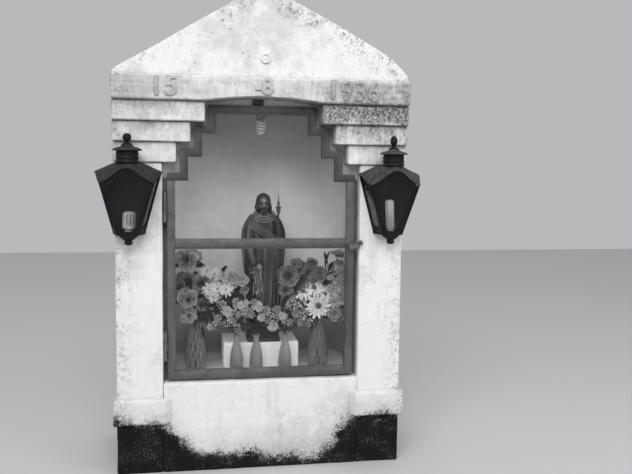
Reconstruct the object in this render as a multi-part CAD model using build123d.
"""Wayside shrine: a whitewashed niche with a corbelled head, a stepped glazed door and two wall lanterns.

Frame: millimetres, +Z up, the front faces -Y, +X is to the right.
The origin is at ground level under the middle of the whole shrine.
Depths are measured back from the closed door leaf's front face, and place() moves them into the frame.
What stands proud of that face has a negative depth.
"""

import math
import os

from build123d import *

# Masonry
OPENING_WIDTH = 722.0
PILASTER_WIDTH = 166.0
PILASTER_PROUD = 16.0
FRONT_WALL = 60.0
NICHE_DEPTH = 360.0
BACK_WALL = 80.0
SILL_HEIGHT = 335.0
CORNER_RADIUS = 96.0
ROOF_THICK = 40.0

# Plinth blocks, hung from the sill
PLINTH_HEIGHT = 94.0
PLINTH_DROP = 51.0
PLINTH_PROUD = 28.0
PLINTH_OVERHANG = 10.0
PLINTH_LAP = 7.0
PLINTH_SPLAY = 24.0
PLINTH_ROUND = 7.0

# Corbel courses, lowest first, then the lintel band and the gable
SPRING_HEIGHT = 804.0
COURSE_COUNT = 3
COURSE_STEP = 50.0
COURSE_HEIGHT = 72.0
COURSE_PROUD = 26.0
COURSE_GROWTH = 14.5
COURSE_ROUND = 4.0
BAND_OVERHANG = 5.0
BAND_HEIGHT = 88.0
BAND_PROUD = 70.0
SOFFIT_RISE = 17.0
GABLE_HEIGHT = 307.0
GABLE_PROUD = 54.0
GABLE_INSET = 2.0

# Door leaf
SIDE_GAP = 16.0
STEP_GAP = 13.0
SPRING_GAP = 36.0
SECOND_GAP = 22.0
THIRD_GAP = 10.0
HEAD_GAP = 9.0
SILL_GAP = 8.0
LEAF_THICK = 28.0
STILE_WIDTH = 29.0
BOTTOM_RAIL = 32.0
MID_RAIL = 37.0
MID_RAIL_RISE = 483.0
BEAD_WIDTH = 7.0
BEAD_DEPTH = 4.0
GLASS_THICK = 4.0
GLASS_INSET = 12.0

# Fixed frame behind the leaf
FRAME_CLEARANCE = 6.0
FRAME_THICK = 26.0
FRAME_LAP = 20.0

# Hinges and hasp
FLAP_THICK = 2.5
FLAP_WIDTH = 36.0
AXIS_PROUD = 10.0
PIN_RADIUS = 2.5
PIN_CLEARANCE = 0.1
HINGE_HEIGHT = 108.0
HINGE_RISE = 129.0
HINGE_SPACING = 507.0
KNUCKLE_GAP = 0.8
HASP_LENGTH = 56.0
HASP_WIDTH = 15.0
HASP_THICK = 6.0
HASP_CLEARANCE = 5.0
HASP_SLOPE = 28.0
HASP_DROP = 10.0

# Lanterns: half widths, depths from the wall and heights
LANTERN_OFFSET = 115.0
LANTERN_SHIFT = 6.0
LANTERN_GAP = 2.0
LANTERN_HEIGHT = 181.0
LANTERN_FOOT = 37.0
LANTERN_SHOULDER = 88.0
LANTERN_BACK_FOOT = 57.0
LANTERN_BACK_SHOULDER = 114.0
LANTERN_FOOT_DEPTH = 68.0
LANTERN_SHOULDER_DEPTH = 100.0
BACK_FOOT_RISE = 16.0
BACK_SHOULDER_RISE = 37.0
ARCH_RISE = 53.0
ARCH_SHARES = [i / 6 - 1 for i in range(13)]
SHEET = 2.5
PANE = 2.0
CORNER_BAR = 21.0
SIDE_BAR = 13.0
FOOT_BAR = 14.0
ARCH_BAR = 9.0
ROOF_RISE = 72.0
ROOF_LIP = 4.0
CHIMNEY_RADIUS = 39.0
CHIMNEY_HEIGHT = 44.0
CHIMNEY_DEPTH = 62.5
BRIM_RADIUS = 51.5
TRAY = 8.0

# Things in the niche
STEP_WIDTH = 297.0
STEP_HEIGHT = 108.0
STEP_LENGTH = 190.0
STEP_DEPTH = 140.0
STEP_OFFSET = 11.5
FIGURE_OFFSET = 22.0
FIGURE_DEPTH = 205.0
FIGURE_BASE = 78.0
FIGURE_BASE_WIDTH = 128.0
FIGURE_BASE_LENGTH = 112.0
FIGURE_HEIGHT = 506.0
STAFF_HEIGHT = 505.0
STAFF_RADIUS = 4.0
BOTTLE_HEIGHT = 148.0
BOTTLE_WALL = 2.5
BOTTLE_DEPTH = 102.0
BOTTLE_LEFT = 88.0
BOTTLE_MIDDLE = 12.0
BOTTLE_RIGHT = 100.0
VASE_HEIGHT = 196.0
VASE_WALL = 4.0
VASE_DEPTH = 150.0
VASE_SPACING = 481.0
VASE_SHIFT = 2.5
STEM_SEAT = 0.3
STEM_RADIUS = 8.0
BOUQUET_HEIGHT = 444.0
POSY_HEIGHT = 100.0
POSY_STEM = 2.0
LAMP_OFFSET = 10.0
LAMP_DEPTH = 200.0
LAMP_CAP = 61.0

# Worked out from the above
OPEN_HALF = OPENING_WIDTH / 2
WALL_HALF = OPEN_HALF + PILASTER_WIDTH
BAND_HALF = WALL_HALF + BAND_OVERHANG
BACK = NICHE_DEPTH + BACK_WALL
SPRING = SILL_HEIGHT + SPRING_HEIGHT
COURSE_FEET = [SPRING + COURSE_HEIGHT * i for i in range(COURSE_COUNT + 1)]
COURSE_HALVES = [OPEN_HALF - COURSE_STEP * (i + 1) for i in range(COURSE_COUNT)]
COURSE_FRONTS = [-COURSE_PROUD - COURSE_GROWTH * i for i in range(COURSE_COUNT)]
BAND_FOOT = COURSE_FEET[-1]
BAND_TOP = BAND_FOOT + BAND_HEIGHT
CEILING = BAND_TOP - ROOF_THICK
LEAF_HALF = OPEN_HALF - SIDE_GAP
LEAF_HALVES = [LEAF_HALF] + [half - STEP_GAP for half in COURSE_HALVES]
LEAF_TOPS = [foot - gap for foot, gap in zip(COURSE_FEET, (SPRING_GAP, SECOND_GAP, THIRD_GAP, HEAD_GAP))]
LEAF_FOOT = SILL_HEIGHT + SILL_GAP
STILE_TOP = LEAF_TOPS[0] - STILE_WIDTH
FRAME_FRONT = LEAF_THICK + FRAME_CLEARANCE
FRAME_BACK = FRAME_FRONT + FRAME_THICK
AXIS_X = -OPEN_HALF + SIDE_GAP / 2
BARREL_RADIUS = SIDE_GAP / 2 - FLAP_THICK + 0.5
FRONT = -(PILASTER_PROUD + CHIMNEY_DEPTH + BRIM_RADIUS)
ORIGIN_DEPTH = (FRONT + BACK) / 2
BOTTLE_OFFSETS = (-BOTTLE_LEFT, -BOTTLE_MIDDLE, BOTTLE_RIGHT)
VASE_OFFSETS = (-VASE_SPACING / 2 - VASE_SHIFT, VASE_SPACING / 2 - VASE_SHIFT)
STEP_TOP = SILL_HEIGHT + STEP_HEIGHT
FIGURE_FOOT = STEP_TOP + FIGURE_BASE


def place(x, depth, z):
    """A point in the frame from its place across, its depth and its height."""
    return Vector(x, depth - ORIGIN_DEPTH, z)


def mirror_pair(side, inner, outer):
    """The limits along X, in order, of a piece on one side of the middle."""
    return (min(side * inner, side * outer), max(side * inner, side * outer))


def block(x0, x1, d0, d1, z0, z1):
    """A block from its limits."""
    middle = place((x0 + x1) / 2, (d0 + d1) / 2, (z0 + z1) / 2)
    return Pos(middle) * Box(x1 - x0, d1 - d0, z1 - z0)


def panel(points, d0, d1):
    """An outline across and up, from depth d0 back to d1."""
    wire = Wire.make_polygon([place(x, d0, z) for x, z in points], close=True)
    return Solid.extrude(Face(wire), Vector(0, d1 - d0, 0))


def footprint(points, z0, z1):
    """An outline across and back, from height z0 to z1."""
    wire = Wire.make_polygon([place(x, d, z0) for x, d in points], close=True)
    return Solid.extrude(Face(wire), Vector(0, 0, z1 - z0))


def closed_shell(points, faces):
    """A solid from corner points and flat faces."""
    return Solid(Shell([Face(Wire.make_polygon([points[i] for i in face], close=True)) for face in faces]))


def turned(x, depth, profile, sides=16):
    """A turned piece with flat sides, from the (radius, height) points of its closed profile."""
    points, rings = [], []
    for radius, z in profile:
        if radius == 0:
            rings.append([len(points)])
            points.append(place(x, depth, z))
            continue
        rings.append([len(points) + i for i in range(sides)])
        for i in range(sides):
            turn = 2 * math.pi * i / sides
            points.append(place(x + radius * math.cos(turn), depth + radius * math.sin(turn), z))
    faces = []
    for low, high in zip(rings, rings[1:] + rings[:1]):
        for i in range(sides):
            j = (i + 1) % sides
            if len(low) > 1 and len(high) > 1:
                faces.append((low[i], low[j], high[j], high[i]))
            elif len(low) > 1:
                faces.append((low[i], low[j], high[0]))
            elif len(high) > 1:
                faces.append((low[0], high[j], high[i]))
    return closed_shell(points, faces)


def ringed(sections, sides=16):
    """A solid through oval rings: place across, depth, height, half width and half length of each."""
    points = []
    for x, depth, z, a, b in sections:
        for i in range(sides):
            turn = 2 * math.pi * i / sides
            points.append(place(x + a * math.cos(turn), depth + b * math.sin(turn), z))
    faces = [tuple(range(sides)), tuple(range(len(points) - sides, len(points)))]
    for ring in range(len(sections) - 1):
        for i in range(sides):
            j = (i + 1) % sides
            low, high = ring * sides, (ring + 1) * sides
            faces += [(low + i, low + j, high + j), (low + i, high + j, high + i)]
    return closed_shell(points, faces)


def ball(x, depth, z, a, b, c, sides=10, rings=6):
    """A ball or egg with flat sides: its middle, then half its width, length and height."""
    bands = []
    for i in range(1, rings):
        lift = math.pi * (i / rings - 0.5)
        bands.append((x, depth, z + c * math.sin(lift), a * math.cos(lift), b * math.cos(lift)))
    return ringed(bands, sides)


def save(name, shape):
    """Write one node."""
    shape.label = name
    export_step(shape, f"parts/{name}.step")


# Masonry

def make_walls():
    """Apron wall with the niche floor, side walls behind the pilasters, and the back wall."""
    save("base_wall", block(-OPEN_HALF, OPEN_HALF, -PILASTER_PROUD, NICHE_DEPTH, 0, SILL_HEIGHT))
    for name, side in (("left", -1), ("right", 1)):
        x0, x1 = mirror_pair(side, OPEN_HALF, WALL_HALF)
        save(f"pilaster_{name}", block(x0, x1, -PILASTER_PROUD, FRONT_WALL, 0, SPRING))
        save(f"side_wall_{name}", block(x0, x1, FRONT_WALL, NICHE_DEPTH, 0, CEILING))
    wall = block(-WALL_HALF, WALL_HALF, NICHE_DEPTH, BACK, 0, CEILING)
    for side in (-1, 1):
        middle = place(side * (OPEN_HALF - CORNER_RADIUS), NICHE_DEPTH - CORNER_RADIUS, SILL_HEIGHT)
        corner = place(side * OPEN_HALF, NICHE_DEPTH, SILL_HEIGHT)
        start = Vector(middle.X, corner.Y, SILL_HEIGHT)
        end = Vector(corner.X, middle.Y, SILL_HEIGHT)
        bend = middle + (corner - middle).normalized() * CORNER_RADIUS
        cove = Wire([Edge.make_three_point_arc(start, bend, end), Edge.make_line(end, corner),
                     Edge.make_line(corner, start)])
        wall += Solid.extrude(Face(cove), Vector(0, 0, CEILING - SILL_HEIGHT))
    save("back_wall", wall)


def make_plinths():
    """Plinth blocks that wrap the pilasters' feet, splayed towards the apron."""
    top = SILL_HEIGHT - PLINTH_DROP
    front = -PILASTER_PROUD - PLINTH_PROUD
    for name, side in (("left", -1), ("right", 1)):
        outer, inner = WALL_HALF + PLINTH_OVERHANG, OPEN_HALF - PLINTH_LAP
        outline = [(outer, FRONT_WALL), (outer, front), (inner, front), (inner - PLINTH_SPLAY, -PILASTER_PROUD),
                   (WALL_HALF, -PILASTER_PROUD), (WALL_HALF, FRONT_WALL)]
        plinth = footprint([(side * x, d) for x, d in outline], top - PLINTH_HEIGHT, top)
        level = plinth.edges().filter_by(lambda e: abs(e.center().Z - top) < 1e-3)
        arris = [e for e in level if e.center().Y < place(0, front, 0).Y + 1.0]
        save(f"plinth_{name}", plinth.fillet(PLINTH_ROUND, arris))


def make_corbels():
    """Three courses on each side, each wider and further forward than the one below."""
    for name, side in (("left", -1), ("right", 1)):
        for number, half in enumerate(COURSE_HALVES):
            x0, x1 = mirror_pair(side, half, BAND_HALF)
            low, high = COURSE_FEET[number], COURSE_FEET[number + 1]
            course = block(x0, x1, COURSE_FRONTS[number], FRONT_WALL, low, high)
            front = place(0, COURSE_FRONTS[number], 0).Y
            arris = [e for e in course.edges()
                     if abs(e.center().Y - front) < 1e-3 and e.center().Z < high - 1]
            save(f"corbel_{name}_{number + 1}", course.solid().fillet(COURSE_ROUND, arris))


def make_band():
    """The lintel band with its low segmental soffit."""
    half = COURSE_HALVES[-1]
    corners = [(half, BAND_FOOT), (BAND_HALF, BAND_FOOT), (BAND_HALF, BAND_TOP),
               (-BAND_HALF, BAND_TOP), (-BAND_HALF, BAND_FOOT), (-half, BAND_FOOT)]
    points = [place(x, -BAND_PROUD, z) for x, z in corners]
    soffit = Edge.make_three_point_arc(points[-1], place(0, -BAND_PROUD, BAND_FOOT + SOFFIT_RISE), points[0])
    edges = [Edge.make_line(a, b) for a, b in zip(points, points[1:])] + [soffit]
    save("lintel_band", Solid.extrude(Face(Wire(edges)), Vector(0, BAND_PROUD + FRONT_WALL, 0)))


def make_gable():
    """The bell-shaped pediment, carried back as the roof over the niche."""
    half, rise = BAND_HALF - GABLE_INSET, GABLE_HEIGHT
    shape = ((1.0, 0.03), (0.954, 0.138), (0.881, 0.25), (0.645, 0.486), (0.39, 0.722), (0.16, 0.91), (0.0, 1.0),
             (-0.14, 0.92), (-0.344, 0.715), (-0.557, 0.49), (-0.813, 0.228), (-0.95, 0.09), (-1.0, 0.03))
    points = [place(half * x, -GABLE_PROUD, BAND_TOP + rise * z) for x, z in shape]
    feet = [place(-half, -GABLE_PROUD, BAND_TOP), place(half, -GABLE_PROUD, BAND_TOP)]
    outline = Wire([Edge.make_spline(points), Edge.make_line(points[-1], feet[0]), Edge.make_line(*feet),
                    Edge.make_line(feet[1], points[0])])
    gable = Solid.extrude(Face(outline), Vector(0, GABLE_PROUD + BACK, 0))
    roof = block(-WALL_HALF, WALL_HALF, FRONT_WALL, BACK, CEILING, BAND_TOP)
    save("pediment", gable + roof)


# Door

def stepped(halves, tops, foot, inset=0.0):
    """Outline of a stepped head: its half widths and tops from the outside in, drawn in by inset."""
    right = [(halves[0] - inset, foot)]
    for number, (half, top) in enumerate(zip(halves, tops)):
        right.append((half - inset, top - inset))
        if number + 1 < len(halves):
            right.append((halves[number + 1] - inset, top - inset))
    return right + [(-x, z) for x, z in reversed(right)]


def make_leaf():
    """Stiles, rails and the stepped head, each with a sunk bead round the panes."""
    leaf = {}
    inner = LEAF_HALF - STILE_WIDTH
    rail_foot = LEAF_FOOT + MID_RAIL_RISE
    leaf["door_stile_left"] = block(-LEAF_HALF, -inner, 0, LEAF_THICK, LEAF_FOOT, STILE_TOP)
    leaf["door_stile_right"] = block(inner, LEAF_HALF, 0, LEAF_THICK, LEAF_FOOT, STILE_TOP)
    leaf["door_bottom_rail"] = block(-inner, inner, 0, LEAF_THICK, LEAF_FOOT, LEAF_FOOT + BOTTOM_RAIL)
    leaf["door_mid_rail"] = block(-inner, inner, 0, LEAF_THICK, rail_foot, rail_foot + MID_RAIL)
    head = panel(stepped(LEAF_HALVES, LEAF_TOPS, STILE_TOP), 0, LEAF_THICK)
    below = STILE_TOP - STILE_WIDTH
    leaf["door_head"] = head - panel(stepped(LEAF_HALVES, LEAF_TOPS, below, STILE_WIDTH), -5, LEAF_THICK + 5)

    bead = STILE_WIDTH - BEAD_WIDTH
    low = LEAF_FOOT + BOTTOM_RAIL - BEAD_WIDTH
    high = rail_foot + MID_RAIL - BEAD_WIDTH
    lower_bead = block(-LEAF_HALF + bead, LEAF_HALF - bead, -1, BEAD_DEPTH, low, rail_foot + BEAD_WIDTH)
    upper_bead = panel(stepped(LEAF_HALVES, LEAF_TOPS, high, bead), -1, BEAD_DEPTH)
    for name, piece in leaf.items():
        save(name, piece - lower_bead - upper_bead)

    front, back = GLASS_INSET, GLASS_INSET + GLASS_THICK
    save("glass_lower", block(-inner, inner, front, back, LEAF_FOOT + BOTTOM_RAIL, rail_foot))
    save("glass_upper", panel(stepped(LEAF_HALVES, LEAF_TOPS, rail_foot + MID_RAIL, STILE_WIDTH), front, back))


def make_hasp():
    """A short hasp on a block, clear of the pilaster's face."""
    middle = LEAF_FOOT + MID_RAIL_RISE + MID_RAIL / 2 - HASP_DROP
    stand = PILASTER_PROUD + HASP_CLEARANCE
    seat = block(LEAF_HALF - 23, LEAF_HALF - 8, -stand, 0, middle - 8, middle + 8)
    where = place(LEAF_HALF + 2, -stand - HASP_THICK / 2, middle + 5)
    hasp = Pos(where) * Rot(0, -HASP_SLOPE, 0) * Box(HASP_LENGTH, HASP_THICK, HASP_WIDTH)
    save("door_latch", seat + hasp)


def make_fixed_frame():
    """The stepped frame fixed behind the leaf."""
    foot = LEAF_TOPS[0] - FRAME_LAP
    right = [(OPEN_HALF, foot), (OPEN_HALF, COURSE_FEET[0])]
    for number, half in enumerate(COURSE_HALVES):
        right += [(half, COURSE_FEET[number]), (half, COURSE_FEET[number + 1])]
    points = [place(x, FRAME_FRONT, z) for x, z in right]
    mirror = [place(-x, FRAME_FRONT, z) for x, z in reversed(right)]
    crown = Edge.make_three_point_arc(points[-1], place(0, FRAME_FRONT, BAND_FOOT + SOFFIT_RISE), mirror[0])
    edges = [Edge.make_line(a, b) for a, b in zip(points, points[1:])] + [crown]
    edges += [Edge.make_line(a, b) for a, b in zip(mirror, mirror[1:])]
    edges.append(Edge.make_line(mirror[-1], points[0]))
    head = Solid.extrude(Face(Wire(edges)), Vector(0, FRAME_THICK, 0))
    hole = panel(stepped(LEAF_HALVES, LEAF_TOPS, foot - 10, FRAME_LAP), FRAME_FRONT - 5, FRAME_BACK + 5)
    save("frame_head", head - hole)
    for name, side in (("left", -1), ("right", 1)):
        x0, x1 = mirror_pair(side, LEAF_HALF - FRAME_LAP, OPEN_HALF)
        save(f"frame_jamb_{name}", block(x0, x1, FRAME_FRONT, FRAME_BACK, SILL_HEIGHT, foot))


def knuckle_round(radius, z0, z1):
    """A round length about the hinge axis."""
    return Pos(place(AXIS_X, -AXIS_PROUD, (z0 + z1) / 2)) * Cylinder(radius, z1 - z0)


def make_hinges():
    """Two butt hinges: the fixed flap carries the pin, the moving flap turns on it."""
    third = HINGE_HEIGHT / 3
    flap_back = FLAP_WIDTH - AXIS_PROUD
    for name, rise in zip(("lower", "upper"), (HINGE_RISE, HINGE_RISE + HINGE_SPACING)):
        middle = LEAF_FOOT + rise
        z0, z1 = middle - HINGE_HEIGHT / 2, middle + HINGE_HEIGHT / 2
        room = knuckle_round(BARREL_RADIUS + 1.2, middle - third / 2, middle + third / 2)
        fixed = block(-OPEN_HALF, -OPEN_HALF + FLAP_THICK, -AXIS_PROUD, flap_back, z0, z1) - room
        fixed += knuckle_round(BARREL_RADIUS, z0, z0 + third) + knuckle_round(BARREL_RADIUS, z1 - third, z1)
        fixed += knuckle_round(PIN_RADIUS, z0, z1)
        save(f"hinge_{name}_fixed", fixed)
        knuckle = knuckle_round(BARREL_RADIUS, z0 + third + KNUCKLE_GAP, z1 - third - KNUCKLE_GAP)
        knuckle -= knuckle_round(PIN_RADIUS + PIN_CLEARANCE, z0, z1)
        moving = block(-LEAF_HALF - FLAP_THICK, -LEAF_HALF, -AXIS_PROUD, flap_back, z0, z1)
        moving -= knuckle_round(BARREL_RADIUS + 1.2, z0 - 1, z0 + third + KNUCKLE_GAP)
        moving -= knuckle_round(BARREL_RADIUS + 1.2, z1 - third - KNUCKLE_GAP, z1 + 1)
        save(f"hinge_{name}_moving", moving + knuckle)


# Lanterns

def arch_rise(t):
    """Height of the lantern's arched front above its shoulder, t from -1 to 1 across it."""
    return ARCH_RISE * (0.5 + 0.5 * math.cos(math.pi * t))


class Lantern:
    """One half lantern against its pilaster, about its middle x."""

    def __init__(self, name, x, lamp, knob):
        self.name, self.x, self.lamp, self.knob = name, x, lamp, knob
        self.roof_top = SPRING - LANTERN_GAP
        self.shoulder = self.roof_top - ROOF_RISE
        self.foot = self.shoulder - LANTERN_HEIGHT

    def out(self, x, reach, z):
        """A point x across from the lantern's middle and reach out from the wall."""
        return place(self.x + x, -PILASTER_PROUD - reach, z)

    def front_edge(self, up, inset=0.0):
        """Half width, reach and height of the front face at a share of its height."""
        half = LANTERN_FOOT + (LANTERN_SHOULDER - LANTERN_FOOT) * up - inset
        reach = LANTERN_FOOT_DEPTH + (LANTERN_SHOULDER_DEPTH - LANTERN_FOOT_DEPTH) * up - inset
        return half, reach, self.foot + LANTERN_HEIGHT * up

    def back_edge(self, up, inset=0.0):
        """Half width and height of the sides at the wall."""
        half = LANTERN_BACK_FOOT + (LANTERN_BACK_SHOULDER - LANTERN_BACK_FOOT) * up - inset
        low, high = self.foot + BACK_FOOT_RISE, self.shoulder + BACK_SHOULDER_RISE
        return half, low + (high - low) * up

    def hull(self, low, high, inset, past=0.0):
        """The tapered body between two shares of its height, drawn in by inset, past the wall by past."""
        corners = []
        for up in (low, high):
            half, reach, z = self.front_edge(up, inset)
            back, back_z = self.back_edge(up, inset)
            back, back_z = back + (back - half) * past / reach, back_z + (back_z - z) * past / reach
            corners += [self.out(-back, -past, back_z), self.out(-half, reach, z),
                        self.out(half, reach, z), self.out(back, -past, back_z)]
        ends = [(0, 1, 2, 3), (4, 5, 6, 7), (1, 2, 6, 5), (0, 3, 7, 4)]
        folded_sides = [(0, 1, 5), (0, 5, 4), (3, 2, 6), (3, 6, 7)]
        return closed_shell(corners, ends + folded_sides)

    def arched(self, inset, foot_up, depth0, depth1):
        """The front face with its arched top, between two depths behind its plane."""
        top, top_reach, top_z = self.front_edge(1.0)
        slope = (LANTERN_SHOULDER_DEPTH - LANTERN_FOOT_DEPTH) / LANTERN_HEIGHT
        length = math.hypot(1.0, slope)
        inward = Vector(0, 1, slope) * (1 / length)
        low, low_reach, low_z = self.front_edge(foot_up)

        def at(x, rise):
            return self.out(x, top_reach + slope * rise, top_z + rise) + inward * depth0

        drop = ARCH_BAR if inset else 0.0
        half = top - inset
        outline = [at(half * t, arch_rise(t) - drop) for t in ARCH_SHARES]
        outline.append(self.out(low - inset, low_reach, low_z) + inward * depth0)
        outline.append(self.out(-low + inset, low_reach, low_z) + inward * depth0)
        return Solid.extrude(Face(Wire.make_polygon(outline, close=True)), inward * (depth1 - depth0))

    def side_window(self, side):
        """The cut through one side, left open between its bars."""
        def at(back, up):
            half, reach, z = self.front_edge(up)
            far, far_z = self.back_edge(up)
            x = half + (far - half) * back
            return self.out(side * (x - 30), reach * (1 - back), z + (far_z - z) * back)

        near, far = SIDE_BAR / LANTERN_FOOT_DEPTH, 1 - SIDE_BAR / (2 * LANTERN_FOOT_DEPTH)
        low, high = FOOT_BAR / LANTERN_HEIGHT, 1 - ARCH_BAR / LANTERN_HEIGHT
        corners = [at(near, low), at(far, low), at(far, high)]
        normal = (corners[1] - corners[0]).cross(corners[2] - corners[0]).normalized()
        last = at(near, high)
        corners.append(last - normal * normal.dot(last - corners[0]))
        return Solid.extrude(Face(Wire.make_polygon(corners, close=True)), Vector(side * 60, 0, 0))

    def make_body(self):
        """Sheet body with its corner bars, back plate, tray and turned cup."""
        body = self.hull(0.0, 1.0 - ROOF_LIP / LANTERN_HEIGHT, 0.0) - self.hull(-0.1, 1.1, SHEET, past=10.0)
        body += self.arched(0.0, 0.02, 0.0, SHEET)
        body -= self.arched(CORNER_BAR, FOOT_BAR / LANTERN_HEIGHT, -5.0, SHEET + 5.0)
        for side in (-1, 1):
            body -= self.side_window(side)
        back, back_z = self.back_edge(1.0)
        foot, foot_z = self.back_edge(0.0)
        plate = Wire.make_polygon([self.out(-foot, 0, foot_z - TRAY), self.out(foot, 0, foot_z - TRAY),
                                   self.out(back, 0, back_z), self.out(0.5 * back, 0, back_z + 16),
                                   self.out(-0.5 * back, 0, back_z + 16), self.out(-back, 0, back_z)], close=True)
        body += Solid.extrude(Face(plate), Vector(0, -SHEET, 0))
        half, reach, z = self.front_edge(0.0)
        tray = Wire.make_polygon([self.out(-foot, 0, z), self.out(-half, reach, z), self.out(half, reach, z),
                                  self.out(foot, 0, z)], close=True)
        body += Solid.extrude(Face(tray), Vector(0, 0, TRAY))
        profile = ((0, z + 1), (32, z + 1), (32, z - 5), (24, z - 12), (17, z - 18), (12, z - 20), (15, z - 27),
                   (12, z - 34), (0, z - 37))
        body += turned(self.x, -PILASTER_PROUD - 42.0, profile)
        save(f"{self.name}_body", body)

    def make_glass(self):
        """One bent pane behind the sides and the arched front."""
        gap = SHEET + 0.2
        pane = self.hull(0.06, 0.95, gap) - self.hull(-0.1, 1.1, gap + PANE, past=10.0)
        pane += self.arched(CORNER_BAR - 6.0, 0.07, gap, gap + PANE)
        save(f"{self.name}_glass", pane - block(self.x - 200, self.x + 200, -PILASTER_PROUD - SHEET - 0.3,
                                                200, 0, 2000))

    def make_roof(self):
        """A folded sheet from the arched eaves up to the chimney."""
        slope = (LANTERN_SHOULDER_DEPTH - LANTERN_FOOT_DEPTH) / LANTERN_HEIGHT
        wide, reach = LANTERN_SHOULDER + ROOF_LIP, LANTERN_SHOULDER_DEPTH + ROOF_LIP
        lift = 3.0
        side_steps = 4
        eave = []
        for i in range(side_steps):
            share = 1 - i / side_steps
            rise = BACK_SHOULDER_RISE * (0.5 - 0.5 * math.cos(math.pi * share))
            across = wide + (LANTERN_BACK_SHOULDER - LANTERN_SHOULDER) * share
            eave.append((-across, reach * (1 - share), self.shoulder + lift + rise))
        for t in ARCH_SHARES:
            rise = arch_rise(t)
            eave.append((wide * t, reach + slope * rise, self.shoulder + lift + rise))
        eave += [(-x, y, z) for x, y, z in reversed(eave[:side_steps])]
        count = len(eave)
        ring = []
        for i in range(count):
            turn = math.pi * i / (count - 1)
            ring.append((-46.0 * math.cos(turn), 8.0 * (1 - abs(math.cos(turn))) + 84.0 * math.sin(turn) ** 0.8,
                         self.roof_top))
        top = [self.out(*p) for p in eave + ring]
        points = top + [p - Vector(0, 0, SHEET) for p in top]
        n = len(top)
        faces = []
        for i in range(count - 1):
            a, b, c, d = i, i + 1, count + i + 1, count + i
            faces += [(a, b, c), (a, c, d), (n + a, n + c, n + b), (n + a, n + d, n + c), (a, n + a, n + b),
                      (a, n + b, b)]
        first, last = 0, count - 1
        for low, high in ((first, count), (last, n - 1)):
            faces += [(low, high, n + high), (low, n + high, n + low)]
        faces += [tuple(range(count, n)), tuple(range(n + count, 2 * n))]
        faces += [(count, n - 1, 2 * n - 1), (count, 2 * n - 1, n + count)]
        save(f"{self.name}_roof", closed_shell(points, faces))

    def make_chimney(self):
        """Ribbed chimney with its brim, cap and knob."""
        z, r = self.roof_top, CHIMNEY_RADIUS
        top = z + CHIMNEY_HEIGHT
        profile = ((0, z), (r, z), (r, z + 9), (r - 3, z + 12), (r - 3, z + 17), (r, z + 20), (r, z + 29),
                   (r - 3, z + 32), (r - 3, top), (BRIM_RADIUS, top), (BRIM_RADIUS, top + 2), (36, top + 10),
                   (27, top + 16), (12, top + 23), (5, top + 26), (5, top + 40), (0, top + 40))
        cap = turned(self.x, -PILASTER_PROUD - CHIMNEY_DEPTH, profile)
        wide, tall = self.knob
        cap += ball(self.x, -PILASTER_PROUD - CHIMNEY_DEPTH, top + 30 + tall, wide, wide, tall)
        save(f"{self.name}_chimney", cap)

    def make_lamp(self):
        """The lamp that stands on the tray."""
        radius, height = self.lamp
        z = self.foot + TRAY
        profile = ((0, z), (14, z), (14, z + 14), (radius, z + 18), (radius, z + height - 8),
                   (0.7 * radius, z + height), (0, z + height))
        save(f"{self.name}_lamp", turned(self.x, -PILASTER_PROUD - 40.0, profile, 12))

    def make(self):
        """Write the lantern's nodes."""
        self.make_body()
        self.make_glass()
        self.make_roof()
        self.make_chimney()
        self.make_lamp()


# Things inside the niche

def make_figure():
    """The block, the dark base and the robed figure with its staff."""
    x0 = STEP_OFFSET - STEP_WIDTH / 2
    back = STEP_DEPTH + STEP_LENGTH
    save("step_block", block(x0, x0 + STEP_WIDTH, STEP_DEPTH, back, SILL_HEIGHT, STEP_TOP))
    x, depth = FIGURE_OFFSET, FIGURE_DEPTH
    half, front = FIGURE_BASE_WIDTH / 2, depth + 50 - FIGURE_BASE_LENGTH
    save("statue_base", block(x - half, x + half, front, depth + 50, STEP_TOP, FIGURE_FOOT))
    tall = FIGURE_HEIGHT
    shape = ((0.0, 0.122, 0.083), (0.06, 0.115, 0.079), (0.316, 0.13, 0.087), (0.534, 0.162, 0.095),
             (0.662, 0.172, 0.091), (0.747, 0.15, 0.079), (0.798, 0.115, 0.067), (0.83, 0.067, 0.051),
             (0.85, 0.036, 0.036))
    robe = ringed([(x + 3, depth, FIGURE_FOOT + h * tall, a * tall, b * tall) for h, a, b in shape])
    head = FIGURE_FOOT + 0.913 * tall
    figure = robe + ball(x, depth - 6, head, 0.061 * tall, 0.067 * tall, 0.087 * tall, 12, 8)
    staff_x, staff_depth = x + 0.107 * tall, depth - 0.111 * tall
    hand = FIGURE_FOOT + 0.518 * tall
    figure += ball(staff_x, staff_depth + 6, hand, 0.032 * tall, 0.036 * tall, 0.032 * tall)
    figure += ball(x - 0.055 * tall, depth - 0.095 * tall, FIGURE_FOOT + 0.45 * tall,
                   0.059 * tall, 0.04 * tall, 0.028 * tall)
    z, knob = FIGURE_FOOT, FIGURE_FOOT + 0.84 * STAFF_HEIGHT
    profile = ((0, z), (STAFF_RADIUS, z), (STAFF_RADIUS, knob), (9, knob + 6), (11, knob + 22), (9, knob + 38),
               (4, knob + 46), (3, z + STAFF_HEIGHT), (0, z + STAFF_HEIGHT))
    save("statue", figure + turned(staff_x, staff_depth, profile, 8))


def hollow(x, depth, outside, wall, floor):
    """A hollow turned vessel from its outer (radius, height) points above the sill."""
    outer = [(0, SILL_HEIGHT)] + [(r, SILL_HEIGHT + h) for r, h in outside]
    inner = [(r - wall, SILL_HEIGHT + max(h, floor)) for r, h in reversed(outside)]
    return turned(x, depth, outer + inner + [(0, SILL_HEIGHT + floor)])


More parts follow.
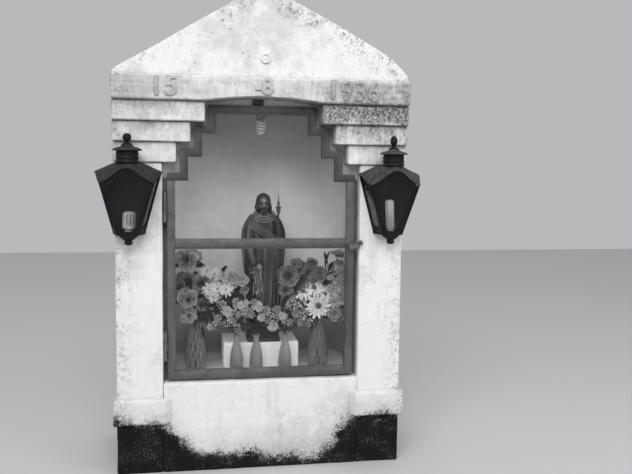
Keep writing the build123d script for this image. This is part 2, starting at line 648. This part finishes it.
def make_vases():
    """Three bottle vases in front of the block and two cut-glass vases beside it."""
    tall = BOTTLE_HEIGHT
    bottle = ((23, 0), (25, 0.07 * tall), (25, 0.36 * tall), (20, 0.6 * tall), (12, 0.78 * tall), (11, 0.9 * tall),
              (15, tall))
    for number, x in enumerate(BOTTLE_OFFSETS, start=1):
        save(f"bottle_{number}", hollow(x, BOTTLE_DEPTH, bottle, BOTTLE_WALL, 2 * BOTTLE_WALL))
    tall = VASE_HEIGHT
    vase = ((31, 0), (40, 0.1 * tall), (43, 0.3 * tall), (36, 0.6 * tall), (27, 0.82 * tall), (34, tall))
    for name, x in zip(("left", "right"), VASE_OFFSETS):
        save(f"vase_{name}", hollow(x, VASE_DEPTH, vase, VASE_WALL, 2 * VASE_WALL))


def bunch(x, depth, foot, stem, tall, heads):
    """Flower heads as overlapping balls on a stem: each is across, back, up and radius as shares of tall."""
    low, radius = foot
    base, top = stem
    lump = turned(x, depth, ((0, low), (radius, low), (radius, top), (0, top)), 8)
    for across, back, up, size in heads:
        size *= tall
        middle = (x + across * tall, depth + back * tall, base + up * tall)
        lump += ball(*middle, size, 0.9 * size, size, 8, 6)
    return lump


def make_flowers():
    """Cloth flowers: two large bouquets and a posy in each bottle."""
    left = ((-0.054, 0.02, 0.642, 0.112), (-0.054, 0.02, 0.809, 0.126), (-0.067, 0.035, 0.935, 0.115),
            (-0.056, -0.09, 0.575, 0.08), (-0.058, -0.13, 0.495, 0.07), (0.1, 0.05, 0.565, 0.092),
            (0.212, 0.06, 0.602, 0.12), (0.195, 0.03, 0.717, 0.104), (0.159, 0.03, 0.837, 0.07),
            (0.3, -0.01, 0.735, 0.08), (0.392, -0.015, 0.776, 0.062))
    right = ((0.0, 0.02, 0.559, 0.117), (-0.11, 0.01, 0.679, 0.1), (-0.21, 0.045, 0.698, 0.08),
             (-0.122, 0.03, 0.858, 0.108), (-0.257, 0.005, 0.887, 0.08), (0.014, 0.04, 0.839, 0.082),
             (0.106, 0.02, 0.6, 0.09), (0.15, 0.02, 0.475, 0.07), (0.185, 0.01, 0.6, 0.075),
             (0.12, 0.03, 0.71, 0.08), (0.178, 0.03, 0.784, 0.073), (0.171, 0.03, 0.89, 0.066),
             (0.162, 0.03, 0.985, 0.055))
    tall = BOUQUET_HEIGHT
    foot = (SILL_HEIGHT + 2 * VASE_WALL + STEM_SEAT, STEM_RADIUS)
    stem = (SILL_HEIGHT, SILL_HEIGHT + 0.6 * tall)
    for name, x, heads in zip(("left", "right"), VASE_OFFSETS, (left, right)):
        save(f"bouquet_{name}", bunch(x, VASE_DEPTH, foot, stem, tall, heads))
    posies = (((0.0, 0.0, 0.62, 0.3), (-0.36, 0.0, 0.74, 0.3), (-0.82, 0.0, 0.6, 0.25),
               (-1.12, 0.0, 0.37, 0.18), (0.08, 0.0, 0.92, 0.28), (-0.2, 0.0, 0.38, 0.22)),
              ((0.03, 0.0, 0.76, 0.33), (0.34, 0.0, 0.85, 0.26)),
              ((-0.02, 0.0, 0.38, 0.21), (-0.11, 0.0, 0.62, 0.28), (0.18, 0.0, 0.97, 0.31),
               (0.5, 0.0, 0.61, 0.35), (0.86, 0.0, 0.44, 0.24)))
    tall = POSY_HEIGHT
    foot = (SILL_HEIGHT + 2 * BOTTLE_WALL + STEM_SEAT, POSY_STEM)
    stem = (SILL_HEIGHT + BOTTLE_HEIGHT, SILL_HEIGHT + BOTTLE_HEIGHT + 0.6 * tall)
    for number, (x, heads) in enumerate(zip(BOTTLE_OFFSETS, posies), start=1):
        save(f"posy_{number}", bunch(x - 2 * POSY_STEM, BOTTLE_DEPTH, foot, stem, tall, heads))


def make_lamp():
    """Ceiling lamp in the niche and the cable box under the soffit."""
    top, x, depth = CEILING, LAMP_OFFSET, LAMP_DEPTH
    cap = ((0, top), (26, top), (26, top - 9), (17, top - 13), (17, top - LAMP_CAP), (0, top - LAMP_CAP))
    save("lamp_holder", turned(x, depth, cap))
    top -= LAMP_CAP
    bulb = ((0, top), (14, top), (20, top - 8), (20, top - 36), (14, top - 42), (21, top - 46), (21, top - 88),
            (14, top - 93), (0, top - 93))
    save("lamp_bulb", turned(x, depth, bulb))
    save("cable_box", block(-36, 2, FRAME_FRONT - 22, FRAME_FRONT, LEAF_TOPS[-1] + 6, LEAF_TOPS[-1] + 24))


def main():
    """Write every node."""
    os.makedirs("parts", exist_ok=True)
    make_walls()
    make_plinths()
    make_corbels()
    make_band()
    make_gable()
    make_leaf()
    make_hasp()
    make_fixed_frame()
    make_hinges()
    centre = OPEN_HALF + LANTERN_OFFSET
    Lantern("lantern_left", -centre, (24.0, 72.0), (15.0, 15.0)).make()
    Lantern("lantern_right", centre - LANTERN_SHIFT, (18.0, 118.0), (13.0, 19.0)).make()
    make_figure()
    make_vases()
    make_flowers()
    make_lamp()


main()
